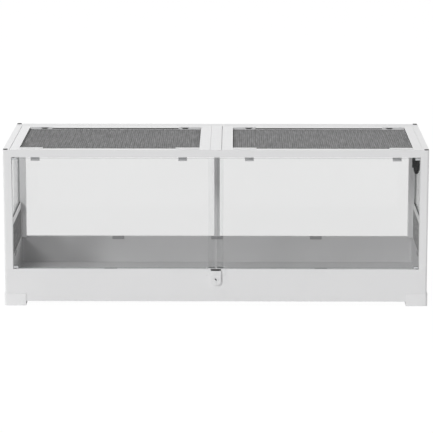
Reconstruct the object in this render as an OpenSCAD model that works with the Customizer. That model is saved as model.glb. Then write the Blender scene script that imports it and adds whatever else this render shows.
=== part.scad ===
// Knock-down front-opening reptile terrarium: a plinth with a waterproof tray, four corner posts,
// a top frame, glass panes with mesh vents below them, two hinged glass doors with a centre lock,
// and two lift-off mesh lids with sliding latches.
// Origin: bottom centre of the whole object. X to the right, Y to the back, Z up. Millimetres.

/* [Tank] */
// Overall width over the posts
tank_w = 1219.2; // [1000:0.1:1500]
// Overall depth over the posts
tank_d = 457.2; // [400:0.1:600]
// Overall height to the top of the frame
tank_h = 457.2; // [400:0.1:600]

/* [Base] */
// Height of the plinth boards above the surface
plinth_lift = 12.8; // [10:0.1:20]
// Height of the plinth boards
plinth_h = 95.6; // [80:0.1:120]
// Thickness of the plinth boards
plinth_t = 8; // [7:0.5:10]
// Height of the tray's inner floor above the surface
tray_floor_z = 27.9; // [26:0.1:36]
// Thickness of the tray
tray_t = 2; // [1.5:0.5:3]
// Width of a corner foot along each side
foot_w = 62.5; // [50:0.5:80]
// Height of a corner foot
foot_h = 35.5; // [25:0.5:45]
// How far a foot stands proud of the boards
foot_proud = 2.5; // [1.5:0.5:4]
// Length of a tray clip
clip_len = 36; // [20:1:50]

/* [Frame] */
// Width of the square corner posts
post_w = 24; // [22:0.5:30]
// Radius of the outer corners
corner_r = 6; // [4:0.5:8]
// Height of the header and the top rails
header_h = 21.4; // [18:0.1:30]
// Visible width of the side rails seen from above
rail_w = 18.1; // [14:0.1:20]
// Visible width of the rear rail seen from above
rear_rail_w = 38.6; // [30:0.1:45]
// Width of the bar between the lids
beam_w = 31.6; // [24:0.1:40]
// Width of the post between the rear panes
centre_post_w = 16.4; // [14:0.1:24]

/* [Panes] */
// Thickness of every pane
glass_t = 4; // [3:0.5:5]
// Setback of the doors from the front face
door_setback = 2.5; // [2.5:0.5:4]
// Width of the clear seal along each door's free edge
seal_w = 21; // [10:1:30]
// Height of the mesh in each side vent
vent_mesh_h = 90.7; // [60:0.1:110]
// Height of the vent's upper rail
vent_rail_h = 16.5; // [14:0.5:30]
// Height of the vent's lower rail
vent_sill_h = 2.4; // [2.4:0.1:14]

/* [Lids] */
// Thickness of a lid
lid_t = 10; // [9:0.5:14]
// Distance of the mesh opening from the centre line
mesh_inner_x = 48; // [40:0.5:60]
// Width of a lid's outer end bar
lid_end_w = 25.9; // [20:0.1:36]
// Width of a lid's front bar
lid_front_w = 19.1; // [13.5:0.1:24]
// Width of a lid's rear bar
lid_rear_w = 38.1; // [30:0.1:45]
// Depth from the lid's top down to the mesh
mesh_recess = 4; // [3:0.5:5]
// Length of a latch housing
housing_len = 68; // [50:1:80]
// Height of a latch housing above the lid
housing_rise = 2.6; // [1.5:0.1:4]
// Width of a latch tongue
tongue_w = 25; // [16:0.5:30]
// How far a tongue hangs below the header
tongue_drop = 13.5; // [8:0.1:16]
// Travel of a latch
latch_travel = 3.4; // [2:0.1:3.4]

/* [Lock] */
// Width of the lock body
lock_w = 30; // [28:0.5:36]
// Height of the lock body
lock_h = 42.2; // [40:0.1:46]
// Radius of the lock body's lower corners
lock_r = 11; // [10:0.5:12]
// Width of the saddle plate over the plinth
saddle_w = 57.4; // [45:0.1:70]
// Travel of the bolt
bolt_travel = 11; // [8:0.5:11]

/* [Cable port] */
// Distance of the port from the front face
port_setback = 181.6; // [120:0.1:300]
// Width of the port along the side
port_w = 60; // [56:1:80]
// Radius of the cable hole
port_r = 13; // [8:0.5:13]

/* [Hidden] */
$fn = 32;
slack = 0.2;                 // clearance around a pane in its groove
run = 0.05;                  // radial clearance of a pin that turns
tray_gap = 0.4;              // tray to the plinth boards
lock_proud = 10.8;           // lock cylinder's face in front of the posts
half_w = tank_w / 2;
// the overall box, lock and feet included, is centred on the origin
front_y = -(tank_d - lock_proud + foot_proud) / 2;
rear_y = front_y + tank_d;
mid_y = (front_y + rear_y) / 2;
base_z = plinth_lift + plinth_h;
head_z = tank_h - header_h;
ledge_z = tank_h - lid_t - 0.3;
groove_depth = 6;
pane_inset = 2;              // pane's outer face behind the frame's outer face
post_slot = 10;
mesh_t = 1.2;

// doors
door_gap = 3;
door_y = [front_y + door_setback, front_y + door_setback + glass_t];
door_z = [base_z + door_gap, head_z - door_gap];
door_x = [3, half_w - post_w - 2];
hinge_x = door_x[1] - 3.5;
hinge_y = (door_y[0] + door_y[1]) / 2;
pivot_r = 2;
bush_flange_t = 1.6;

// lids, on the +X side
lid_gap = 0.9;               // lid to the frame around it
lid_shift = 0.5;             // each lid lies a little to the right in its place
lid_x = [beam_w / 2 + lid_gap, half_w - rail_w - lid_gap];
lip_t = 4;
lid_y = [front_y + lip_t + lid_gap, rear_y - rear_rail_w - lid_gap];
lid_z = [tank_h - lid_t, tank_h];
open_x = [mesh_inner_x, lid_x[1] - lid_end_w];
open_y = [lid_y[0] + lid_front_w, lid_y[1] - lid_rear_w];
mesh_z = tank_h - mesh_recess;
mesh_margin = 2;
spline_t = 1.2;
spline_z = mesh_z + 1.4;     // the cord lies on a lip that clamps the mesh
grid_bar = 3.8;              // the meshes are plain grids of narrow slots
lid_cells = [68, 3];
vent_cells = [3, 12];

// latches: depths are measured outwards from the edge of the mesh opening
stem_d = [mesh_margin + 0.4, mesh_margin + 2.6];
hook_d = 8;
ledge_d = hook_d + 0.4;
housing_d = [-2.8, 12.2];
latch_x = [open_x[0] + 47.5, open_x[1] - 45.7];
shelf_y = open_y[1] + ledge_d;
header_d = open_y[0] - ledge_d - front_y;

// side vents
vent_t = 10;
vent_z = [base_z, base_z + vent_sill_h + vent_mesh_h + vent_rail_h];
vent_open_z = [base_z + vent_sill_h, base_z + vent_sill_h + vent_mesh_h];
side_y = [front_y + post_w, rear_y - post_w];
vent_stile = 8;

// lock
lock_top = base_z - 3.4;
lock_z = lock_top - 25;
saddle_t = 1.5;
lock_back = front_y - saddle_t;
lock_face = front_y - 10;
bolt_w = 21;
cam_r = 7.78;                // radius of the eccentric pin
lock_screw_x = 12.9;
lock_screw_z = lock_top - 8;

// cable port, on the right side
port_y = front_y + port_setback;
port_z = [head_z - 64.5, head_z - 0.2];
port_hole_z = head_z - 31.8;
port_in = half_w - 32;       // innermost face of the cheeks
port_pin = [half_w - 15.6, head_z - 11.8];
port_flange_in = half_w - pane_inset - glass_t - 3.4;
port_cheek_t = 5;

// ---------- helpers ----------

// A box given by its range along each axis
module block(x, y, z) {
    translate([x[0], y[0], z[0]]) cube([x[1] - x[0], y[1] - y[0], z[1] - z[0]]);
}

// Whatever is built on the right, on the left
module on_left() { mirror([1, 0, 0]) children(); }

// Plan of a bar whose two front corners are round: centred on x, front face on y = 0
module bar_plan(w, d, r) {
    intersection() {
        translate([-w / 2, 0]) square([w, d]);
        union() {
            translate([-w / 2 + r, 0]) square([w - 2 * r, d]);
            translate([-w / 2, r]) square([w, d]);
            for (s = [-1, 1]) translate([s * (w / 2 - r), r]) circle(r);
        }
    }
}

// Plan of a rectangle with its corner at the origin round
module corner_plan(w, d, r) {
    intersection() {
        square([w, d]);
        union() {
            translate([r, 0]) square([w, d]);
            translate([0, r]) square([w, d]);
            translate([r, r]) circle(r);
        }
    }
}

// Puts a corner shape (its outer corner at the origin, growing into +X +Y) at all four corners
module at_corners(out = 0) {
    for (s = [-1, 1]) {
        translate([s * (half_w + out), front_y - out, 0]) flip_x(-s) children();
        translate([s * (half_w + out), rear_y + out, 0]) flip_x(-s) mirror([0, 1, 0]) children();
    }
}

module flip_x(s) { mirror([s > 0 ? 0 : 1, 0, 0]) children(); }

module pin_z(r, z) { translate([0, 0, z[0]]) cylinder(r = r, h = z[1] - z[0]); }

module pin_y(r, y) { translate([0, y[0], 0]) rotate([-90, 0, 0]) cylinder(r = r, h = y[1] - y[0]); }

// A shape drawn in X and Z, given depth along Y
module along_y(y) {
    translate([0, y[1], 0]) rotate([90, 0, 0]) linear_extrude(y[1] - y[0]) children();
}

// The open width of cell i, where n cells with bars between them share a range
function cell(range, n, i) = let (step = (range[1] - range[0]) / n)
    [range[0] + i * step + grid_bar / 2, range[0] + (i + 1) * step - grid_bar / 2];

// ---------- base ----------

foot_screw_at = [[plinth_t / 2, 38], [38, plinth_t / 2]];
dowel_at = [[plinth_t / 2, 11], [11, plinth_t / 2]];
dowel_r = 2;
dowel_half = 18;

module foot_screw_bores(r) {
    for (p = foot_screw_at) translate(p) pin_z(r, [plinth_lift, plinth_lift + 20]);
}

module dowel_bores() {
    for (p = dowel_at) translate(p) pin_z(dowel_r, [base_z - dowel_half, base_z + dowel_half]);
}

module joint_bores() {
    at_corners() {
        foot_screw_bores(1.6);
        dowel_bores();
    }
}

// The clips that hold the tray's rim to the boards: [x, y, turn] with the board's outer face at y
clip_at = [for (x = [-303.5, 0, 303.5]) [x, rear_y, 0], for (x = [-303.5, 303.5]) [x, front_y, 180],
    [half_w, mid_y, -90], [-half_w, mid_y, 90]];
clip_t = 1.2;
clip_drop = 8.8;

module at_clips() { for (p = clip_at) translate([p[0], p[1], 0]) rotate(p[2]) children(); }

module clip_leg_recess() {
    block([-clip_len / 2 - 0.2, clip_len / 2 + 0.2], [-plinth_t - 0.5, -plinth_t + 1.4],
        [base_z - clip_drop - 0.4, base_z + 1]);
}

// Room for the clips in whatever stands on the boards
module clip_top_recess() {
    at_clips() block([-clip_len / 2 - 0.3, clip_len / 2 + 0.3], [-plinth_t - 7, -plinth_t + 1.4],
        [base_z - 1, base_z + clip_t + 0.2]);
}

module plinth_long(y, turn) {
    color("#e9e9e9") difference() {
        translate([0, y, plinth_lift]) rotate(turn) linear_extrude(plinth_h)
            bar_plan(tank_w, plinth_t, corner_r);
        joint_bores();
        at_clips() clip_leg_recess();
    }
}

module front_plinth() {
    difference() {
        plinth_long(front_y, 0);
        // door pivot bushes
        for (s = [-1, 1]) translate([s * hinge_x, hinge_y, 0]) pin_z(3, [base_z - 8, base_z + 1]);
        // lock screws, sunk into the back of the board
        for (s = [-1, 1]) translate([s * lock_screw_x, 0, lock_screw_z]) {
            pin_y(1.1, [front_y - 1, front_y + plinth_t + 1]);
            pin_y(2.4, [front_y + plinth_t - 2, front_y + plinth_t + 1]);
        }
    }
}

module rear_plinth() {
    difference() {
        plinth_long(rear_y, 180);
        rear_groove([base_z - groove_depth, base_z + 1]);
    }
}

module rear_groove(z) {
    block([-half_w + post_w - post_slot, half_w - post_w + post_slot],
        [rear_y - pane_inset - glass_t - slack, rear_y - pane_inset + slack], z);
}

module right_plinth() {
    color("#e9e9e9") difference() {
        block([half_w - plinth_t, half_w], [front_y + plinth_t, rear_y - plinth_t],
            [plinth_lift, base_z]);
        joint_bores();
        at_clips() clip_leg_recess();
    }
}

module left_plinth() { on_left() right_plinth(); }

module tray() {
    r = 10;
    outer = [half_w - plinth_t - tray_gap, tank_d / 2 - plinth_t - tray_gap];
    color("#dcdcdc") difference() {
        tray_body(outer, r, [tray_floor_z - tray_t, base_z - 0.2]);
        tray_body([outer[0] - tray_t, outer[1] - tray_t], r - tray_t, [tray_floor_z, base_z + 1]);
    }
}

// A box with round upright corners, given by its half sizes
module tray_body(half, r, z) {
    translate([0, mid_y, z[0]]) linear_extrude(z[1] - z[0]) {
        square([2 * half[0] - 2 * r, 2 * half[1]], center = true);
        square([2 * half[0], 2 * half[1] - 2 * r], center = true);
        for (sx = [-1, 1], sy = [-1, 1]) translate([sx * (half[0] - r), sy * (half[1] - r)]) circle(r);
    }
}

module floor_bearers() {
    bearer_w = 30;
    color("#d8d8d8") for (x = [-300, 0, 300])
        block([x - bearer_w / 2, x + bearer_w / 2], [front_y + plinth_t, rear_y - plinth_t],
            [plinth_lift, tray_floor_z - tray_t - 0.2]);
}

module corner_feet() {
    color("#ebebeb") at_corners(foot_proud) difference() {
        linear_extrude(foot_h) corner_plan(foot_w, foot_w, corner_r + foot_proud);
        // channel that the two boards stand in
        translate([foot_proud, foot_proud, plinth_lift]) difference() {
            linear_extrude(foot_h) corner_plan(foot_w, foot_w, corner_r);
            translate([plinth_t, plinth_t, -1]) cube([foot_w, foot_w, foot_h + 2]);
        }
        // the tray lies over the inner block
        translate([foot_proud, foot_proud, tray_floor_z - tray_t - 0.5])
            cube([foot_w, foot_w, foot_h]);
        for (p = foot_screw_at) translate([foot_proud + p[0], foot_proud + p[1], 0]) {
            pin_z(2.1, [-1, plinth_lift + 1]);
            pin_z(4.2, [-1, 4]);
        }
    }
}

module tray_clips() {
    out = -plinth_t - 0.2;
    inn = -plinth_t - tray_gap - tray_t - 0.2 - clip_t;
    half = clip_len / 2;
    color("#8c8c8c") at_clips() {
        block([-half, half], [inn, inn + clip_t], [base_z - clip_drop, base_z + clip_t]);
        block([-half, half], [out, out + clip_t], [base_z - clip_drop, base_z + clip_t]);
        block([-half, half], [inn, out + clip_t], [base_z, base_z + clip_t]);
    }
}

// ---------- frame ----------

cap_inset = [1.2, 0.6];
cap_size = [12.4, 9.4];
cap_t = 2.5;                 // let into the frame
cap_rise = 1.6;              // proud of the frame
head_screw_at = [6.5, 5.2];

module cap_shape(extra = 0) {
    translate([cap_inset[0], cap_inset[1], tank_h - cap_t])
        linear_extrude(cap_t + cap_rise + extra)
            corner_plan(cap_size[0], cap_size[1], corner_r - cap_inset[0]);
}

// Recess for the cap, the screw's head and its shank
module cap_recesses() {
    at_corners() {
        cap_shape(1);
        head_screw_bore(2.1, [head_z - 1, tank_h]);
        head_screw_bore(4, [tank_h - cap_t - 3.2, tank_h]);
    }
}

module head_screw_bore(r, z) { translate(head_screw_at) pin_z(r, z); }

// Corner post: outer corner at the origin. The slot for the side pane runs up its inner edge
module post(rear_slot) {
    pane = [pane_inset - slack, pane_inset + glass_t + slack];
    color("#e6e6e6") difference() {
        translate([0, 0, base_z]) linear_extrude(head_z - base_z)
            corner_plan(post_w, post_w, corner_r);
        block(pane, [post_w - post_slot, post_w + 1], [base_z - 1, head_z + 1]);
        if (rear_slot) block([post_w - post_slot, post_w + 1], pane, [base_z - 1, head_z + 1]);
        dowel_bores();
        head_screw_bore(1.6, [head_z - 20, head_z + 1]);
    }
}

module post_front_left() { translate([-half_w, front_y, 0]) post(false); }
module post_front_right() { on_left() post_front_left(); }
module post_rear_left() { translate([-half_w, rear_y, 0]) mirror([0, 1, 0]) post(true); }
module post_rear_right() { on_left() post_rear_left(); }

module post_rear_centre() {
    slot = 5;
    half = centre_post_w / 2;
    y = [rear_y - 14, rear_y - 1];
    pane = [rear_y - pane_inset - glass_t - slack, rear_y - pane_inset + slack];
    color("#e0e0e0") difference() {
        block([-half, half], y, [base_z, head_z]);
        clip_top_recess();
        for (s = [-1, 1]) translate([s * half, 0, 0])
            block([-slot, slot], pane, [base_z - 1, head_z + 1]);
    }
}

module front_header() {
    color("#ececec") difference() {
        union() {
            translate([0, front_y, head_z]) linear_extrude(ledge_z - head_z)
                bar_plan(tank_w, header_d, corner_r);
            translate([0, front_y, ledge_z]) linear_extrude(tank_h - ledge_z)
                bar_plan(tank_w, lip_t, corner_r);
        }
        side_groove([head_z - 1, head_z + groove_depth]);
        on_left() side_groove([head_z - 1, head_z + groove_depth]);
        cap_recesses();
        for (s = [-1, 1]) translate([s * hinge_x, hinge_y, 0]) pin_z(3, [head_z - 1, head_z + 8]);
    }
}

module rear_rail() {
    depth = rear_y - shelf_y;
    color("#ececec") difference() {
        translate([0, rear_y, 0]) rotate(180) {
            translate([0, 0, head_z]) linear_extrude(ledge_z - head_z)
                bar_plan(tank_w, depth, corner_r);
            translate([0, 0, ledge_z]) linear_extrude(tank_h - ledge_z)
                bar_plan(tank_w, rear_rail_w, corner_r);
        }
        rear_groove([head_z - 1, head_z + groove_depth]);
        side_groove([head_z - 1, head_z + groove_depth]);
        on_left() side_groove([head_z - 1, head_z + groove_depth]);
        cap_recesses();
    }
}

module right_top_rail() {
    ledge_w = 10;
    color("#e8e8e8") difference() {
        union() {
            block([half_w - rail_w - ledge_w, half_w], [front_y + header_d, shelf_y], [head_z, ledge_z]);
            intersection() {
                block([half_w - rail_w, half_w], [front_y + lip_t, rear_y - rear_rail_w],
                    [ledge_z, tank_h]);
                translate([0, front_y, ledge_z]) linear_extrude(tank_h)
                    bar_plan(tank_w, tank_d, corner_r);
            }
        }
        side_groove([head_z - 1, head_z + groove_depth]);
        cap_recesses();
    }
}

module left_top_rail() { on_left() right_top_rail(); }

module side_groove(z) {
    block([half_w - pane_inset - glass_t - slack, half_w - pane_inset + slack],
        [side_y[0] - post_slot, side_y[1] + post_slot], z);
}

module centre_beam() {
    ledge_w = 8;
    color("#ececec") {
        block([-beam_w / 2 - ledge_w, beam_w / 2 + ledge_w], [front_y + header_d, shelf_y],
            [head_z + 2.2, ledge_z]);
        block([-beam_w / 2, beam_w / 2], [front_y + lip_t, rear_y - rear_rail_w], [ledge_z, tank_h]);
    }
}

module corner_caps() { color("#202020") at_corners() cap_shape(); }

module frame_screws() {
    color("#b8b8b8") {
        at_corners() translate(head_screw_at) {
            pin_z(1.6, [head_z - 18, tank_h - cap_t - 3]);
            pin_z(3.6, [tank_h - cap_t - 3, tank_h - cap_t - 0.4]);
        }
        at_corners() for (p = foot_screw_at) translate(p) {
            pin_z(1.6, [1.4, plinth_lift + 18]);
            pin_z(3.8, [1.4, 3.8]);
        }
    }
}

module post_dowels() {
    color("#c8c8c8") at_corners() for (p = dowel_at) translate(p)
        pin_z(dowel_r, [base_z - dowel_half + 1, base_z + dowel_half - 1]);
}

// ---------- panes and vents ----------

pane_z = [base_z - groove_depth + 0.2, head_z + groove_depth - 0.2];
pane_end = post_slot - 0.5;
side_pane_x = [half_w - pane_inset - glass_t, half_w - pane_inset];

module rear_glass_right() {
    color("#cfe6e6", 0.35) block([3.4, half_w - post_w + pane_end],
        [rear_y - pane_inset - glass_t, rear_y - pane_inset], pane_z);
}

module rear_glass_left() { on_left() rear_glass_right(); }

module side_pane() {
    block(side_pane_x, [side_y[0] - pane_end, side_y[1] + pane_end],
        [vent_z[1] - groove_depth + 0.2, pane_z[1]]);
}

module right_side_glass() {
    color("#cfe6e6", 0.35) difference() {
        side_pane();
        // notch for the cable port
        block([half_w - vent_t, half_w + 1],
            [port_y - port_w / 2 + port_cheek_t, port_y + port_w / 2 - port_cheek_t],
            [port_z[0] + 5, head_z + 20]);
    }
}

module left_side_glass() { color("#cfe6e6", 0.35) on_left() side_pane(); }

module vent_mesh_shape() {
    margin = 3;
    margin_z = 0.6;
    x = half_w - vent_t + 0.6;
    block([x, x + mesh_t], [side_y[0] + vent_stile - margin, side_y[1] - vent_stile + margin],
        [vent_open_z[0] - margin_z, vent_open_z[1] + margin]);
}

module right_vent_frame() {
    color("#e4e4e4") difference() {
        union() {
            block([half_w - vent_t, half_w], side_y, vent_z);
            // tongues that run in the posts' slots
            block([side_pane_x[0] + slack, side_pane_x[1] - slack],
                [side_y[0] - pane_end, side_y[1] + pane_end], vent_z);
        }
        block([half_w - vent_t - 1, half_w + 1],
            [side_y[0] + vent_stile, side_y[1] - vent_stile], vent_open_z);
        side_groove([vent_z[1] - groove_depth, vent_z[1] + 1]);
        vent_mesh_shape();
        clip_top_recess();
    }
}

module left_vent_frame() { on_left() right_vent_frame(); }

module right_vent_mesh() {
    y = [side_y[0] + vent_stile, side_y[1] - vent_stile];
    color("#3a3a3a") difference() {
        vent_mesh_shape();
        for (i = [0 : vent_cells[0] - 1], j = [0 : vent_cells[1] - 1])
            block([half_w - vent_t, half_w], cell(y, vent_cells[0], i),
                cell(vent_open_z, vent_cells[1], j));
    }
}

module left_vent_mesh() { on_left() right_vent_mesh(); }

// ---------- doors ----------

module pivot_bushes() {
    color("#1c1c1c") for (s = [-1, 1]) translate([s * hinge_x, hinge_y, 0]) {
        bush(base_z);
        translate([0, 0, head_z + base_z]) mirror([0, 0, 1]) bush(base_z);
    }
}

// Flanged bush with its flange standing on z
module bush(z) {
    difference() {
        union() { pin_z(3, [z - 8, z]); pin_z(4, [z, z + bush_flange_t]); }
        pin_z(pivot_r + run, [z - 9, z + bush_flange_t + 1]);
    }
}

module right_door_glass() { color("#cfe6e6", 0.3) block(door_x, door_y, door_z); }
module left_door_glass() { on_left() right_door_glass(); }

// Shoe with its pivot pin, standing on the lower bush
module pivot_shoe() {
    shoe_w = 13;
    shoe_h = 6;
    wall = 1.5;
    bottom = base_z + bush_flange_t + 0.4;
    color("#9a9a9a") {
        difference() {
            block([door_x[1] - shoe_w, door_x[1]], [door_y[0] - wall, door_y[1] + wall],
                [bottom, bottom + shoe_h]);
            block([door_x[1] - shoe_w - 1, door_x[1] + 1], door_y, [door_z[0], bottom + shoe_h + 1]);
        }
        translate([hinge_x, hinge_y, 0]) pin_z(pivot_r, [base_z - 7, bottom + 0.5]);
    }
}

module right_door_pivots() {
    pivot_shoe();
    translate([0, 0, head_z + base_z]) mirror([0, 0, 1]) pivot_shoe();
}

module left_door_pivots() { on_left() right_door_pivots(); }

module right_door_seal() {
    wall = 1;
    free_x = door_x[0] - 2;
    color("#dfeaea", 0.4) difference() {
        block([free_x, free_x + seal_w], [door_y[0] - wall, door_y[1] + wall], door_z);
        block([door_x[0], free_x + seal_w + 1], door_y, [door_z[0] - 1, door_z[1] + 1]);
    }
}

module left_door_seal() { on_left() right_door_seal(); }

// ---------- lock ----------

// Outline of the lock body in X and Z, its top edge on z = 0
module lock_outline(w, h, r) {
    translate([-w / 2, -h + r]) square([w, h - r]);
    translate([-w / 2 + r, -h]) square([w - 2 * r, h]);
    for (s = [-1, 1]) translate([s * (w / 2 - r), -h + r]) circle(r);
}

module lock_plate() {
    half = saddle_w / 2;
    tray_in = front_y + plinth_t + 0.4 + tray_t;
    color("#f0f0f0") difference() {
        union() {
            along_y([lock_back, front_y]) {
                translate([-half, base_z - 20]) square([saddle_w, 20 + saddle_t]);
                translate([0, lock_top]) lock_outline(lock_w, lock_h, lock_r);
            }
            block([-half, half], [lock_back, tray_in + saddle_t], [base_z, base_z + saddle_t]);
            block([-half, half], [tray_in, tray_in + saddle_t], [base_z - 12, base_z + saddle_t]);
            // low stop behind the doors' meeting edges
            block([-half, half], [door_y[1] + 1.8, door_y[1] + 3.3], [base_z, base_z + 4.8]);
        }
        for (s = [-1, 1]) translate([s * lock_screw_x, 0, lock_screw_z])
            pin_y(1.1, [lock_back - 1, front_y + 1]);
    }
}

module lock_housing() {
    cavity_w = bolt_w + 0.6;
    color("#f2f2f2") difference() {
        translate([0, 0, lock_top]) along_y([lock_face, lock_back]) difference() {
            lock_outline(lock_w, lock_h, lock_r);
        }
        // the bolt slides in the back of the body and leaves through its top
        translate([0, 0, lock_top + 1]) along_y([lock_face + 2.9, lock_back + 1])
            lock_outline(cavity_w, lock_h - 3 + 1, 6);
        translate([0, 0, lock_z]) pin_y(6 + run, [lock_face - 1, lock_face + 4]);
        for (s = [-1, 1]) translate([s * lock_screw_x, 0, lock_screw_z])
            pin_y(0.9, [lock_back - 5, lock_back + 1]);
    }
}

module lock_screws() {
    color("#b8b8b8") for (s = [-1, 1]) translate([s * lock_screw_x, 0, lock_screw_z]) {
        pin_y(0.9, [lock_back - 4.5, front_y + plinth_t - 1.6]);
        pin_y(2.1, [front_y + plinth_t - 1.8, front_y + plinth_t - 0.2]);
    }
}

cam_disc_r = 10;
cam_pin_y = [lock_face + 3, lock_back - 0.8];

module lock_cylinder() {
    color("#c9ccd0") translate([0, 0, lock_z]) difference() {
        union() {
            pin_y(6, [front_y - lock_proud, lock_face + 3.5]);
            pin_y(cam_disc_r, [lock_face + 3.4, lock_face + 5.4]);
            translate([cam_r * cos(45), 0, -cam_r * sin(45)]) pin_y(1.5, [lock_face + 3.4, lock_back - 0.7]);
        }
        // key slot
        rotate([0, 45, 0]) block([-3.8, 3.8], [front_y - lock_proud - 1, front_y - lock_proud + 3.2],
            [-0.9, 0.9]);
    }
}

module lock_bolt() {
    y = [lock_back - 2.6, lock_back - 0.6];
    head = [lock_top + 0.4, base_z + 0.2];
    foot_z = lock_z - 10.5;
    pin_z0 = lock_z - cam_r * sin(45);
    color("#161616") difference() {
        union() {
            along_y(y) translate([0, head[0] + 0.1]) lock_outline(bolt_w, head[0] + 0.1 - foot_z, 5);
            block([-14.5, 14.5], y, head);
        }
        block([cam_r * cos(45) - 1.9, cam_r + 1.9], [y[0] - 1, y[1] + 1], [pin_z0 - 1.9, pin_z0 + 1.9]);
    }
}

// ---------- cable port ----------

module cable_port() {
    y = [port_y - port_w / 2, port_y + port_w / 2];
    notch_y = [y[0] + port_cheek_t + 0.2, y[1] - port_cheek_t - 0.2];
    cheek = [[port_in, port_z[1]], [port_flange_in, port_z[1]], [port_flange_in, port_z[0] + 9],
        [half_w - 16.5, port_z[0] - 3], [port_in, port_z[0] - 3]];
    color("#191919") difference() {
        union() {
            block([port_flange_in, side_pane_x[0]], y, port_z);
            block([side_pane_x[0], side_pane_x[1]], notch_y, [port_z[0] + 5.2, port_z[1]]);
            block([side_pane_x[1], half_w], y, port_z);
            for (y0 = [y[0], y[1] - port_cheek_t]) along_y([y0, y0 + port_cheek_t]) polygon(cheek);
            block([port_in, port_flange_in], y, [port_z[1] - 4, port_z[1]]);
        }
        translate([0, port_y, port_hole_z]) rotate([0, 90, 0])
            translate([0, 0, port_in]) cylinder(r = port_r, h = 40);
        translate([port_pin[0], 0, port_pin[1]]) pin_y(2 + run, [y[0] - 1, y[1] + 1]);
    }
}

// Flap that hangs over the hole from trunnions in the cheeks, with a finger tab below
module port_shutter() {
    half = port_w / 2 - port_cheek_t - 0.5;
    plate_x = [port_flange_in - 4.8, port_flange_in - 0.8];
    tab_r = 7.5;
    tab = [port_in + 8, head_z - 69.6];
    color("#141414") {
        translate([port_pin[0], 0, port_pin[1]])
            pin_y(2, [port_y - port_w / 2 + 0.5, port_y + port_w / 2 - 0.5]);
        along_y([port_y - half, port_y + half]) {
            translate(port_pin) circle(4.4);
            translate([plate_x[0], head_z - 47]) square([plate_x[1] - plate_x[0], 47 - 11.8]);
            polygon([[plate_x[1], head_z - 46], [plate_x[0], head_z - 38], [port_in + 4, head_z - 63],
                [port_in + 4, tab[1] - 2], [tab[0] + tab_r, tab[1]]]);
            intersection() {
                translate(tab) circle(tab_r);
                translate([port_in + 4, tab[1] - 10]) square([20, 20]);
            }
        }
    }
}

// ---------- lids ----------

// The four latch places of a lid: [x, y of the opening's edge, direction outwards]
latch_places = [[latch_x[1], open_y[0], -1], [latch_x[0], open_y[0], -1],
    [latch_x[1], open_y[1], 1], [latch_x[0], open_y[1], 1]];

module at_latch(p) { translate([p[0], p[1], 0]) mirror([0, p[2] > 0 ? 0 : 1, 0]) children(); }

module opening_ring(outset, z) {
    block([open_x[0] - outset, open_x[1] + outset], [open_y[0] - outset, open_y[1] + outset], z);
}

module screen_shape() { opening_ring(mesh_margin, [mesh_z - mesh_t, mesh_z]); }

module lid_frame() {
    color("#eeeeee") {
        difference() {
            block(lid_x, lid_y, lid_z);
            opening_ring(0, [lid_z[0] - 1, lid_z[1] + 1]);
            screen_shape();
            for (p = latch_places) at_latch(p) {
                housing_block(p, [-5, housing_d[1]], [mesh_z, tank_h + 10]);
                block([-tongue_w / 2 - 0.4, tongue_w / 2 + 0.4],
                    [stem_d[0] - 0.2, stem_d[1] + latch_travel + 0.4], [lid_z[0] - 1, mesh_z + 1]);
            }
        }
        opening_band([mesh_z, spline_z]);
    }
}

// Space of a housing: it reaches from the end of the opening past its latch
module housing_block(p, d, z) {
    near = p[0] == latch_x[1] ? open_x[1] - housing_len - latch_x[1] : open_x[0] - latch_x[0];
    block([near, near + housing_len], d, z);
}

module lid_screen() {
    color("#3c3c3c") difference() {
        screen_shape();
        for (i = [0 : lid_cells[0] - 1], j = [0 : lid_cells[1] - 1])
            block(cell(open_x, lid_cells[0], i), cell(open_y, lid_cells[1], j),
                [mesh_z - mesh_t - 1, mesh_z + 1]);
    }
}

// A thin band round the inside of the opening, at a range of heights
module opening_band(z) {
    difference() {
        opening_ring(0, z);
        opening_ring(-spline_t, [z[0] - 1, z[1] + 1]);
    }
}

module lid_spline() { color("#111111") opening_band([spline_z, tank_h]); }

// Thumb window: a segment of a cylinder along Y, cut through the housing's inner face
module thumb_notch() {
    chord = 27;
    depth = 6;
    skin = 0.8;
    top = tank_h + housing_rise;
    r = (chord * chord / 4 + depth * depth) / (2 * depth);
    intersection() {
        translate([0, 0, top - depth + r]) pin_y(r, [housing_d[0] - 1, 1]);
        block([-chord, chord], [housing_d[0] - 2, 2], [top - depth - 1, top - skin]);
    }
}

module lid_housings() {
    color("#e2e2e2") difference() {
        for (p = latch_places) at_latch(p) difference() {
            housing_block(p, housing_d, [mesh_z, tank_h + housing_rise]);
            thumb_notch();
            // the latch slides in this pocket
            block([-tongue_w / 2 - 0.4, tongue_w / 2 + 0.4], [0, 11.6], [mesh_z - 1, tank_h + 1.2]);
        }
        opening_band([mesh_z - 1, tank_h]);
    }
}

module latch(p) {
    half = tongue_w / 2;
    color("#d2d2d2") at_latch(p) {
        block([-half, half], stem_d, [head_z - tongue_drop, mesh_z + 1]);
        block([-half, half], [stem_d[0], hook_d], [head_z - tongue_drop, head_z - 0.6]);
        block([-half, half], [0.6, hook_d - 0.2], [mesh_z + 0.4, tank_h + 0.8]);
    }
}

// Both lids lie a little to the right in their places
module in_right_place() { translate([lid_shift, 0, 0]) children(); }
module in_left_place() { translate([lid_shift, 0, 0]) on_left() children(); }

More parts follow.
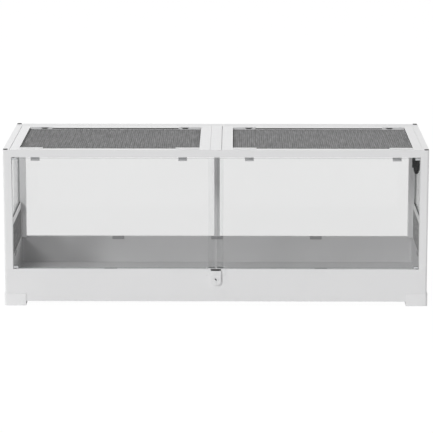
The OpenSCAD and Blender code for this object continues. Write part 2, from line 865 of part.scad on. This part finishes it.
module right_lid_frame() { in_right_place() lid_frame(); }
module right_lid_screen() { in_right_place() lid_screen(); }
module right_lid_spline() { in_right_place() lid_spline(); }
module right_lid_housings() { in_right_place() lid_housings(); }
module right_latch_front_outer() { in_right_place() latch(latch_places[0]); }
module right_latch_front_inner() { in_right_place() latch(latch_places[1]); }
module right_latch_rear_outer() { in_right_place() latch(latch_places[2]); }
module right_latch_rear_inner() { in_right_place() latch(latch_places[3]); }
module left_lid_frame() { in_left_place() lid_frame(); }
module left_lid_screen() { in_left_place() lid_screen(); }
module left_lid_spline() { in_left_place() lid_spline(); }
module left_lid_housings() { in_left_place() lid_housings(); }
module left_latch_front_outer() { in_left_place() latch(latch_places[0]); }
module left_latch_front_inner() { in_left_place() latch(latch_places[1]); }
module left_latch_rear_outer() { in_left_place() latch(latch_places[2]); }
module left_latch_rear_inner() { in_left_place() latch(latch_places[3]); }

// ---------- drawing ----------

front_plinth();
rear_plinth();
left_plinth();
right_plinth();
tray();
floor_bearers();
corner_feet();
tray_clips();
post_front_left();
post_front_right();
post_rear_left();
post_rear_right();
post_rear_centre();
front_header();
rear_rail();
left_top_rail();
right_top_rail();
centre_beam();
corner_caps();
frame_screws();
post_dowels();
rear_glass_left();
rear_glass_right();
left_side_glass();
right_side_glass();
left_vent_frame();
right_vent_frame();
left_vent_mesh();
right_vent_mesh();
pivot_bushes();
lock_plate();
lock_housing();
lock_screws();
lock_cylinder();
lock_bolt();
cable_port();
port_shutter();
left_door_glass();
left_door_pivots();
left_door_seal();
right_door_glass();
right_door_pivots();
right_door_seal();
left_lid_frame();
left_lid_screen();
left_lid_spline();
left_lid_housings();
right_lid_frame();
right_lid_screen();
right_lid_spline();
right_lid_housings();
left_latch_front_outer();
left_latch_front_inner();
left_latch_rear_outer();
left_latch_rear_inner();
right_latch_front_outer();
right_latch_front_inner();
right_latch_rear_outer();
right_latch_rear_inner();
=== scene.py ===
"""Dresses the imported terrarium: materials, woven mesh, gaskets, lock details, light and camera."""
import math

import bmesh
import bpy
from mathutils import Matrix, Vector


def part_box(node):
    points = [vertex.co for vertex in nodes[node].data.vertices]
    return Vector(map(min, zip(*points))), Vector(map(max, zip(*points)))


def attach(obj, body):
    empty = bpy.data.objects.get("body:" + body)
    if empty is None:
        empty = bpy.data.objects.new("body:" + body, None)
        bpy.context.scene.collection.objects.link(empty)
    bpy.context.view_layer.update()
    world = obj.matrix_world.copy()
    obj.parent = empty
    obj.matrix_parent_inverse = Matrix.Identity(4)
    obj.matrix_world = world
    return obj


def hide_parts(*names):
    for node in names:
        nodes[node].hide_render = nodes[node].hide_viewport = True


MM = 0.001
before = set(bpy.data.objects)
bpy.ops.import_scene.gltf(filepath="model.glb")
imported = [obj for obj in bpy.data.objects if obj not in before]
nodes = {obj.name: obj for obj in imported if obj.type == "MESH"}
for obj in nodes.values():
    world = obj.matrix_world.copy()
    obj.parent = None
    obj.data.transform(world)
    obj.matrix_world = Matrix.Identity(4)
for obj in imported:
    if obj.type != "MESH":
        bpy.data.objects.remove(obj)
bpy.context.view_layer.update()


# ---------- node helpers ----------


class Nodes:
    """A node tree under construction, with short ways to add and join nodes."""

    def __init__(self, holder):
        holder.use_nodes = True
        self.tree = holder.node_tree
        self.tree.nodes.clear()

    def add(self, kind, **values):
        node = self.tree.nodes.new(kind)
        for key, value in values.items():
            setattr(node, key, value)
        return node

    def put(self, socket, value):
        """Sets a socket, or joins another node's output to it."""
        if isinstance(value, bpy.types.NodeSocket):
            self.tree.links.new(value, socket)
        else:
            socket.default_value = value

    def math(self, operation, a, b=0.0):
        node = self.add("ShaderNodeMath", operation=operation)
        self.put(node.inputs[0], a)
        self.put(node.inputs[1], b)
        return node.outputs[0]

    def blend(self, factor, a, b):
        """Mixes two surfaces or backgrounds."""
        node = self.add("ShaderNodeMixShader")
        for socket, value in zip(node.inputs, (factor, a, b)):
            self.put(socket, value)
        return node.outputs[0]

    def seen_directly(self):
        """1 for what the camera sees, straight or through metal and glass."""
        path = self.add("ShaderNodeLightPath")
        seen = self.math("MAXIMUM", path.outputs["Is Camera Ray"], path.outputs["Is Glossy Ray"])
        return self.math("MAXIMUM", seen, path.outputs["Is Transmission Ray"])


class Shader(Nodes):
    """A material under construction. Its patterns are placed in the object's own coordinates."""

    def __init__(self, name):
        self.material = bpy.data.materials.new(name)
        super().__init__(self.material)
        self.output = self.add("ShaderNodeOutputMaterial")
        self.place = self.add("ShaderNodeTexCoord").outputs["Object"]

    def noise(self, scale, detail=3.0, stretch=(1, 1, 1)):
        spread = self.add("ShaderNodeMapping")
        self.put(spread.inputs["Vector"], self.place)
        spread.inputs["Scale"].default_value = stretch
        node = self.add("ShaderNodeTexNoise")
        self.put(node.inputs["Vector"], spread.outputs[0])
        node.inputs["Scale"].default_value = scale
        node.inputs["Detail"].default_value = detail
        return node.outputs["Fac"]

    def spread(self, value, low, high):
        """Maps 0.3 to 0.7, where noise mostly lies, to a range."""
        node = self.add("ShaderNodeMapRange")
        self.put(node.inputs["Value"], value)
        node.inputs["From Min"].default_value = 0.3
        node.inputs["From Max"].default_value = 0.7
        node.inputs["To Min"].default_value = low
        node.inputs["To Max"].default_value = high
        return node.outputs[0]

    def mix_color(self, factor, a, b):
        """Mixes two colours. Their sockets are the mix node's inputs 6 and 7 and its output 2."""
        node = self.add("ShaderNodeMix", data_type="RGBA")
        self.put(node.inputs[0], factor)
        self.put(node.inputs[6], a)
        self.put(node.inputs[7], b)
        return node.outputs[2]

    def bump(self, height, distance):
        node = self.add("ShaderNodeBump")
        self.put(node.inputs["Height"], height)
        node.inputs["Distance"].default_value = distance
        node.inputs["Strength"].default_value = 1.0
        return node.outputs["Normal"]

    def principled(self, color, rough, metal=0.0, normal=None, coat=0.0, specular=0.5):
        node = self.add("ShaderNodeBsdfPrincipled")
        self.put(node.inputs["Base Color"], color)
        self.put(node.inputs["Roughness"], rough)
        node.inputs["Metallic"].default_value = metal
        node.inputs["Coat Weight"].default_value = coat
        node.inputs["Specular IOR Level"].default_value = specular
        if normal is not None:
            self.put(node.inputs["Normal"], normal)
        return node.outputs[0]

    def done(self, surface):
        self.tree.links.new(surface, self.output.inputs["Surface"])
        return self.material


def shade(color, factor):
    return tuple(channel * factor for channel in color[:3]) + (1.0,)


def grey(value):
    return (value, value, value, 1.0)


def middle_of(low, high):
    return tuple((a + b) / 2 for a, b in zip(low, high))


def node_point(node, point):
    """A point of the shared frame in a CAD solid's own coordinates."""
    return nodes[node].matrix_world.inverted() @ Vector(point)


def coated(name, color, rough, grain, depth, uneven, coat=0.0, specular=0.5):
    """Paint or moulded plastic, uneven in colour and gloss. grain is in mm, and depth in metres."""
    s = Shader(name)
    tone = s.spread(s.noise(7.0), 0.0, 1.0)
    fine = s.noise(1.0 / (grain * MM), 2.0)
    return s.done(
        s.principled(
            s.mix_color(tone, shade(color, 1 - uneven), shade(color, 1 + uneven / 2)),
            s.spread(s.noise(60.0), rough - 0.05, rough + 0.05),
            coat=coat,
            specular=specular,
            normal=s.bump(fine, depth),
        )
    )


def brushed(name, color, rough, stretch):
    """Bare metal with fine lines along the axis that stretch leaves at 1."""
    s = Shader(name)
    lines = s.noise(900.0, 2.0, stretch)
    return s.done(
        s.principled(
            s.mix_color(lines, shade(color, 0.9), shade(color, 1.05)),
            s.spread(lines, rough - 0.06, rough + 0.08),
            metal=1.0,
            normal=s.bump(lines, 0.00001),
        )
    )


def wood(name, color):
    s = Shader(name)
    rings = s.noise(400.0, 4.0, (1, 1, 0.05))
    return s.done(
        s.principled(
            s.mix_color(rings, shade(color, 0.75), shade(color, 1.1)),
            0.65,
            normal=s.bump(rings, 0.0001),
        )
    )


def pane(name, clear, edge=None, facing="Y", least=0.012, most=0.75, rough=0.02):
    """Clear sheet that shows what is behind it. clear is the share that one face lets through.

    It mirrors from least, seen straight on, to most at a glancing angle. If edge gives a colour, the cut
    edges have it: those are the faces that don't look along the facing axis.
    """
    s = Shader(name)
    weight = s.add("ShaderNodeLayerWeight")
    weight.inputs["Blend"].default_value = 0.5
    glance = s.math("POWER", weight.outputs["Facing"], 5.0)
    mirrored = s.math("ADD", s.math("MULTIPLY", glance, most - least), least)
    through = s.add("ShaderNodeBsdfTransparent")
    tone = s.spread(s.noise(2.5), 0.0, 1.0)
    s.put(through.inputs["Color"], s.mix_color(tone, clear, shade(clear, 0.995)))
    mirror = s.add("ShaderNodeBsdfGlossy")
    mirror.inputs["Color"].default_value = grey(1.0)
    mirror.inputs["Roughness"].default_value = rough
    face = s.blend(mirrored, through.outputs[0], mirror.outputs[0])
    if edge is None:
        return s.done(face)
    cut = s.principled(edge, s.spread(s.noise(300.0), 0.12, 0.3))
    normal = s.add("ShaderNodeSeparateXYZ")
    s.put(normal.inputs[0], s.add("ShaderNodeTexCoord").outputs["Normal"])
    flat = s.math("GREATER_THAN", s.math("ABSOLUTE", normal.outputs[facing]), 0.7)
    return s.done(s.blend(flat, cut, face))


def wire(name, color, pitch):
    """Coated wire that dips and rises where it crosses others, with long streaks from front to back."""
    s = Shader(name)
    crimp = s.add("ShaderNodeTexChecker")
    s.put(crimp.inputs["Vector"], s.place)
    crimp.inputs["Scale"].default_value = 1 / pitch
    streaks = s.spread(s.noise(170.0, 1.0, (1, 0.08, 1)), 0.0, 1.0)
    return s.done(
        s.principled(
            s.mix_color(streaks, shade(color, 0.80), shade(color, 1.20)),
            s.spread(s.noise(90.0), 0.5, 0.7),
            specular=0.15,
            normal=s.bump(crimp.outputs["Fac"], 0.00004),
        )
    )


def key_face_painted_shade(name, color, dark, node):
    """Coated face with painted shade: a dark oval round the key slot, standing for the shade in its hollow.
    """
    s = Shader(name)
    away = s.add("ShaderNodeVectorMath", operation="SUBTRACT")
    s.put(away.inputs[0], s.place)
    away.inputs[1].default_value = node_point(node, middle_of(*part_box(node)))
    squares = []
    for half, axis in zip(KEY_SHADE_OVAL, (KEY_ALONG, KEY_ACROSS)):
        share = s.add("ShaderNodeVectorMath", operation="DOT_PRODUCT")
        s.put(share.inputs[0], away.outputs[0])
        share.inputs[1].default_value = tuple(part / half for part in axis)
        squares.append(s.math("POWER", s.math("ABSOLUTE", share.outputs["Value"]), 2.0))
    oval = s.math("LESS_THAN", s.math("ADD", *squares), 1.0)
    return s.done(s.principled(s.mix_color(oval, color, dark), s.spread(s.noise(60.0), 0.25, 0.35)))


# ---------- materials ----------

WHITE = (0.80, 0.80, 0.805)
GLASS_CLEAR = (0.9395, 0.94, 0.94, 1)
GLASS_EDGE = (0.28, 0.33, 0.32, 1)
MESH_PITCH = 2.95 * MM

# The key slot runs down to the right. The ovals' half sizes are along and across it: that of the painted
# shade, a dark oval, on the cylinder's face, and that of the dark drum in the slot, which is painted shade
# too
KEY_TURN = math.radians(45)
KEY_ALONG = (math.cos(KEY_TURN), 0, -math.sin(KEY_TURN))
KEY_ACROSS = (math.sin(KEY_TURN), 0, math.cos(KEY_TURN))
KEY_SHADE_OVAL = (3.9 * MM, 1.9 * MM)
KEYWAY_SHADE_OVAL = (3.7 * MM, 1.9 * MM)

look = {
    "board": coated("board", WHITE, 0.42, grain=1.6, depth=0.00002, uneven=0.012),
    "profile": coated("profile", (0.82, 0.82, 0.825), 0.38, grain=0.7, depth=0.00002, uneven=0.012),
    # Painted shade: the rear posts and rear rail get a greyer copy of the white profile, for the dim back of
    # the tank
    "rear_profile_painted_shade": coated("rear_profile_painted_shade", (0.77, 0.77, 0.775), 0.38, grain=0.7, depth=0.00002, uneven=0.012),
    # Painted shade: the tray is greyer than the boards, for the dim inside of the tank
    "tray": coated("tray", (0.65, 0.65, 0.655), 0.36, grain=2.2, depth=0.00002, uneven=0.02),
    "bearer": coated("bearer", (0.62, 0.62, 0.62), 0.6, grain=1.2, depth=0.00004, uneven=0.05),
    "foot": coated("foot", (0.825, 0.825, 0.83), 0.45, grain=0.5, depth=0.00004, uneven=0.012),
    "clip": coated("clip", (0.36, 0.36, 0.365), 0.4, grain=0.6, depth=0.00003, uneven=0.04),
    "black": coated("black", (0.02, 0.02, 0.021), 0.7, grain=0.5, depth=0.00005, uneven=0.15, specular=0.15),
    "bolt": coated("bolt", (0.012, 0.012, 0.012), 0.6, grain=0.4, depth=0.00003, uneven=0.1, specular=0.2),
    "rubber": coated(
        "rubber", (0.012, 0.012, 0.012), 0.75, grain=0.4, depth=0.00008, uneven=0.2, specular=0.15),
    "zinc": brushed("zinc", (0.55, 0.56, 0.58), 0.35, (1, 1, 0.05)),
    "satin_steel": brushed("satin_steel", (0.5, 0.51, 0.52), 0.34, (0.05, 1, 1)),
    "dowel": wood("dowel", (0.55, 0.38, 0.2)),
    "lock": coated("lock", (0.79, 0.79, 0.795), 0.28, grain=0.8, depth=0.00001, uneven=0.01, coat=0.2),
    # The lock cylinder's face has painted shade: a dark oval round its key slot
    "key_face_painted_shade": key_face_painted_shade("key_face_painted_shade", (0.79, 0.79, 0.795, 1), (0.015, 0.015, 0.015, 1), "lock_cylinder"),
    "housing": coated("housing", (0.78, 0.78, 0.785), 0.42, grain=0.6, depth=0.00003, uneven=0.02),
    "latch": coated("latch", (0.60, 0.605, 0.615), 0.4, grain=0.6, depth=0.00003, uneven=0.02),
    "glass_front": pane("glass_front", GLASS_CLEAR, GLASS_EDGE),
    "glass_side": pane("glass_side", GLASS_CLEAR, GLASS_EDGE, facing="X", most=0.6),
    "seal": pane("seal", (0.981, 0.982, 0.982, 1), least=0.003, most=0.3, rough=0.08),
    "fin": pane("fin", GLASS_CLEAR, least=0.003, most=0.3, rough=0.08),
    "mesh": wire("mesh", (0.235, 0.235, 0.237), MESH_PITCH),
    "vent_mesh": wire("vent_mesh", (0.35, 0.35, 0.352), MESH_PITCH),
}

dressing = {
    "board": ["front_plinth", "rear_plinth", "left_plinth", "right_plinth"],
    "profile": [
        "post_front_left", "post_front_right", "front_header",
        "left_top_rail", "right_top_rail", "centre_beam",
        "left_vent_frame", "right_vent_frame", "left_lid_frame", "right_lid_frame",
    ],
    "rear_profile_painted_shade": ["post_rear_left", "post_rear_right", "post_rear_centre", "rear_rail"],
    "tray": ["tray"],
    "bearer": ["floor_bearers"],
    "foot": ["corner_feet"],
    "clip": ["tray_clips"],
    "black": ["corner_caps", "pivot_bushes", "cable_port", "port_shutter"],
    "bolt": ["lock_bolt"],
    "rubber": ["left_lid_spline", "right_lid_spline"],
    "zinc": ["frame_screws", "lock_screws"],
    "satin_steel": ["left_door_pivots", "right_door_pivots"],
    "dowel": ["post_dowels"],
    "lock": ["lock_plate", "lock_housing"],
    "key_face_painted_shade": ["lock_cylinder"],
    "housing": ["left_lid_housings", "right_lid_housings"],
    "latch": [name for name in nodes if "_latch_" in name],
    "glass_front": ["rear_glass_left", "rear_glass_right", "left_door_glass", "right_door_glass"],
    "glass_side": ["left_side_glass", "right_side_glass"],
    "seal": ["left_door_seal", "right_door_seal"],
}
for kind, names in dressing.items():
    for name in names:
        for held in nodes[name].material_slots:
            held.link = "OBJECT"
            held.material = look[kind]


def round_edges(piece, radius):
    """Rounds a piece's sharp edges, with a radius in mm."""
    rounding = piece.modifiers.new("edges", "BEVEL")
    rounding.width = radius * MM
    rounding.segments = 2
    rounding.limit_method = "ANGLE"
    return rounding


# Worn or moulded edges, in mm
edge_radius = {
    "board": 0.6, "profile": 0.5, "rear_profile_painted_shade": 0.5, "tray": 0.5, "foot": 1.0, "black": 0.4, "lock": 0.5,
    "housing": 0.4, "latch": 0.3, "clip": 0.25, "bolt": 0.25, "glass_front": 0.3, "glass_side": 0.3,
}
for kind, radius in edge_radius.items():
    for name in dressing[kind]:
        rounding = round_edges(nodes[name], radius)
        rounding.angle_limit = math.radians(50)
        rounding.use_clamp_overlap = True
        rounding.harden_normals = True


# ---------- added pieces ----------


def finish_piece(bm, name, kind, body, edge=0.0):
    """Makes the object, with its look, moving body and slot. edge is the radius of its edges, in mm."""
    mesh = bpy.data.meshes.new(name)
    bmesh.ops.recalc_face_normals(bm, faces=bm.faces)
    bm.to_mesh(mesh)
    bm.free()
    piece = bpy.data.objects.new(name, mesh)
    bpy.context.collection.objects.link(piece)
    mesh.materials.append(look[kind])
    if edge:
        round_edges(piece, edge)
    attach(piece, body)
    return piece


def add_block(bm, low, high):
    """A box between two corners, in metres."""
    low, high = Vector(low), Vector(high)
    for v in bmesh.ops.create_cube(bm, size=1.0)["verts"]:
        v.co = Vector((low[i] + (v.co[i] + 0.5) * (high[i] - low[i]) for i in range(3)))


def skin(bm, loops, closed=False):
    """Faces between loops of points that follow each other, and from the last to the first if closed."""
    for i in range(0 if closed else 1, len(loops)):
        a, b = loops[i - 1], loops[i]
        for k in range(len(a)):
            bm.faces.new((a[k - 1], a[k], b[k], b[k - 1]))


def add_wires(bm, low, high, across, normal, radii, offset):
    """Straight wires of four sides, spaced along one axis and running along the third. Their radii repeat."""
    along = 3 - across - normal
    count = int((high[across] - low[across]) / MESH_PITCH)
    start = (low[across] + high[across] - count * MESH_PITCH) / 2
    middle = (low[normal] + high[normal]) / 2 + offset
    for i in range(count + 1):
        radius = radii[i % len(radii)]
        rings = []
        for end in (low[along], high[along]):
            ring = []
            for a, n in ((radius, 0), (0, radius), (-radius, 0), (0, -radius)):
                point = Vector((0, 0, 0))
                point[along] = end
                point[across] = start + i * MESH_PITCH + a
                point[normal] = middle + n
                ring.append(bm.verts.new(point))
            rings.append(ring)
        skin(bm, rings)
        for ring in rings:
            bm.faces.new(ring)


def woven(node, kind, body, normal, warp, weft):
    """Wire mesh in the place of a screen: two layers that cross, each with its own radii."""
    low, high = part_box(node)
    bm = bmesh.new()
    flat = [axis for axis in range(3) if axis != normal]
    for across, radii, side in zip(flat, (warp, weft), (1, -1)):
        add_wires(bm, low, high, across, normal, radii, side * LAYER_SHIFT)
    piece = finish_piece(bm, node + "_wires", kind, body)
    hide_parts(node)


def pane_gasket(side, sign):
    """Flat strip along the foot of a side pane, on the vent's upper rail and at the pane's inner face."""
    gap, reach, height, end = 0.1 * MM, 1.4 * MM, 0.4 * MM, 4 * MM
    low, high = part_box(side + "_side_glass")
    vent_low, vent_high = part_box(side + "_vent_frame")
    inner = min(abs(low[0]), abs(high[0]))
    bm = bmesh.new()
    strip_low = (sign * (inner - gap), vent_low[1] + end, vent_high[2])
    strip_high = (sign * (inner - reach), vent_high[1] - end, vent_high[2] + height)
    add_block(bm, strip_low, strip_high)
    finish_piece(bm, side + "_pane_gasket", "rubber", "tank", 0.1)


def seal_fin():
    """Clear fin on the left door's seal, across the slit between the doors."""
    gap, half_thick, end = 0.25 * MM, 0.3 * MM, MM
    low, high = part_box("left_door_seal")
    next_low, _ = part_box("right_door_seal")
    middle = middle_of(low, high)[1]
    bm = bmesh.new()
    fin_low = (high[0], middle - half_thick, low[2] + end)
    fin_high = (next_low[0] - gap, middle + half_thick, high[2] - end)
    add_block(bm, fin_low, fin_high)
    finish_piece(bm, "seal_fin", "fin", "left_door", 0.15)


def keyway_painted_shade(axis, face_y):
    """Black oval drum inside the lock cylinder's slot, painted shade for the slot's depth, with a shallow
    dish in its face.
    """
    sides = 24
    half_along, half_across = KEYWAY_SHADE_OVAL
    bm = bmesh.new()
    rims = []
    # Depth behind the cylinder's face in mm, and size: back, rim and bottom of the dish
    for depth, size in ((1.4, 1.0), (0.03, 1.0), (0.1, 0.82)):
        rim = []
        for i in range(sides):
            angle = 2 * math.pi * i / sides
            along = half_along * size * math.cos(angle)
            across = half_across * size * math.sin(angle)
            rim.append(bm.verts.new((
                axis[0] + along * KEY_ALONG[0] + across * KEY_ACROSS[0],
                face_y + depth * MM,
                axis[2] + along * KEY_ALONG[2] + across * KEY_ACROSS[2],
            )))
        rims.append(rim)
    skin(bm, rims)
    bm.faces.new(rims[0])
    bm.faces.new(rims[-1])
    finish_piece(bm, "keyway_painted_shade", "bolt", "lock_key_cylinder")


def lock_ring(axis):
    """Rounded ring on the lock body, round the cylinder."""
    steps = 48
    # Radius, and depth behind the body's face, in mm
    outline = [(6.1, 0.0), (6.3, -0.45), (6.9, -0.55), (7.4, -0.3), (7.5, 0.2)]
    body_low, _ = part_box("lock_housing")
    bm = bmesh.new()
    rings = []
    for i in range(steps):
        angle = 2 * math.pi * i / steps
        out_x, out_z = math.cos(angle), math.sin(angle)
        rings.append([
            bm.verts.new((axis[0] + r * MM * out_x, body_low[1] + y * MM, axis[2] + r * MM * out_z))
            for r, y in outline
        ])
    skin(bm, rings, closed=True)
    ring = finish_piece(bm, "lock_ring", "lock", "tank")
    for face in ring.data.polygons:
        face.use_smooth = True


def foot_screw_shade_crosses():
    """Black crosses in the heads of the two screws under each foot: painted shade for their cross recesses.
    """
    # In mm: the screws' places from the frame's corner, and the half sizes of a cross's two bars
    places = ((4, 38), (38, 4))
    bars = ((2.2, 0.35), (0.35, 2.2))
    bottom, top = 1.32 * MM, 1.45 * MM
    front_low, front_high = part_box("front_plinth")
    _, rear_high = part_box("rear_plinth")
    bm = bmesh.new()
    for sx in (-1, 1):
        for sy in (-1, 1):
            corner = (front_high[0] * sx, front_low[1] if sy < 0 else rear_high[1])
            for dx, dy in places:
                x, y = corner[0] - sx * dx * MM, corner[1] - sy * dy * MM
                for w, d in bars:
                    add_block(bm, (x - w * MM, y - d * MM, bottom), (x + w * MM, y + d * MM, top))
    finish_piece(bm, "foot_screw_shade_crosses", "bolt", "tank")


# Radii of the wires. Those of the lids that run from front to back are thick and thin in turn
LID_WARP = (0.98 * MM, 0.28 * MM)
LID_WEFT = (0.44 * MM,)
VENT_WIRE = (0.38 * MM,)
LAYER_SHIFT = 0.25 * MM

for side in ("left", "right"):
    woven(side + "_lid_screen", "mesh", side + "_lid", 2, LID_WARP, LID_WEFT)
    woven(side + "_vent_mesh", "vent_mesh", "tank", 0, VENT_WIRE, VENT_WIRE)
for side, sign in (("left", -1), ("right", 1)):
    pane_gasket(side, sign)
seal_fin()
cylinder_low, cylinder_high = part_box("lock_cylinder")
lock_axis = middle_of(cylinder_low, cylinder_high)
# The black drum in the key slot is painted shade for the slot's hollow
keyway_painted_shade(lock_axis, cylinder_low[1])
lock_ring(lock_axis)
foot_screw_shade_crosses()


# ---------- floor, light, camera ----------

# Share of the floor's glow in what the camera sees, and its strength, which make the background white
WHITE_SHARE = 0.95
WHITE_GLOW = 1.03
# The sky's strength as light, and as it is seen
SKY_LIGHT = 0.25
SKY_SEEN = 1.0
# The frame's middle lies behind the origin, because the lock stands out at the front
FRAME_MIDDLE_Y = 0.00415


def paper():
    """Matt white paper that glows where it is seen directly."""
    s = Shader("floor_paper")
    glow = s.add("ShaderNodeEmission")
    glow.inputs["Color"].default_value = grey(1.0)
    glow.inputs["Strength"].default_value = WHITE_GLOW
    matt = s.add("ShaderNodeBsdfDiffuse")
    s.put(matt.inputs["Color"], s.mix_color(s.spread(s.noise(3.0), 0.0, 1.0), grey(0.9), grey(0.92)))
    white_part = s.math("MULTIPLY", s.seen_directly(), WHITE_SHARE)
    return s.done(s.blend(white_part, matt.outputs[0], glow.outputs[0]))


def paper_floor():
    """Sheet just below the feet, which reaches past the view."""
    half_size, drop = 30.0, 0.5 * MM
    bm = bmesh.new()
    bmesh.ops.create_grid(bm, x_segments=4, y_segments=4, size=half_size)
    floor_mesh = bpy.data.meshes.new("floor")
    bm.to_mesh(floor_mesh)
    bm.free()
    floor = bpy.data.objects.new("floor", floor_mesh)
    bpy.context.collection.objects.link(floor)
    floor_mesh.materials.append(paper())
    floor.location.z = -drop


def sky():
    world = bpy.data.worlds.new("studio")
    bpy.context.scene.world = world
    w = Nodes(world)
    skies = []
    for strength in (SKY_LIGHT, SKY_SEEN):
        backdrop = w.add("ShaderNodeBackground")
        backdrop.inputs["Color"].default_value = grey(1.0)
        backdrop.inputs["Strength"].default_value = strength
        skies.append(backdrop.outputs[0])
    w.put(w.add("ShaderNodeOutputWorld").inputs["Surface"], w.blend(w.seen_directly(), *skies))


def lamp(name, kind, place, target, power, **sizes):
    light = bpy.data.lights.new(name, kind)
    light.energy = power
    for key, value in sizes.items():
        setattr(light, key, value)
    holder = bpy.data.objects.new(name, light)
    bpy.context.collection.objects.link(holder)
    holder.location = place
    holder.rotation_euler = (Vector(target) - Vector(place)).to_track_quat("-Z", "Y").to_euler()


def camera():
    """Camera of the photograph, as fitted to the frame's corners."""
    # How far it looks down and to the left, in radians
    pitch, pan = 0.2044, 0.0081
    data = bpy.data.cameras.new("camera")
    data.lens = 193.1
    data.sensor_width = 36
    data.clip_end = 100
    holder = bpy.data.objects.new("camera", data)
    bpy.context.collection.objects.link(holder)
    holder.location = (0.0549, FRAME_MIDDLE_Y - 6.7618, 1.6179)
    holder.rotation_euler = (math.pi / 2 - pitch, 0, pan)
    bpy.context.scene.camera = holder


paper_floor()
sky()
# A far lamp at the front left, 25 degrees up, a low one behind for the back and the right side, and a wide
# one overhead
lamp("key", "SUN", (-3.10, -6.73, 3.27), (0, 0, 0.25), 1.25, angle=math.radians(11))
lamp("fill", "SUN", (4.6, 5.2, 1.3), (0, 0, 0.25), 1.0, angle=math.radians(20))
lamp("overhead", "AREA", (-2.6, 0, 5.4), (0, 0, 0.2), 173, shape="RECTANGLE", size=4.0, size_y=4.0)
camera()

bpy.context.scene.view_settings.view_transform = "Standard"

bpy.context.view_layer.update()
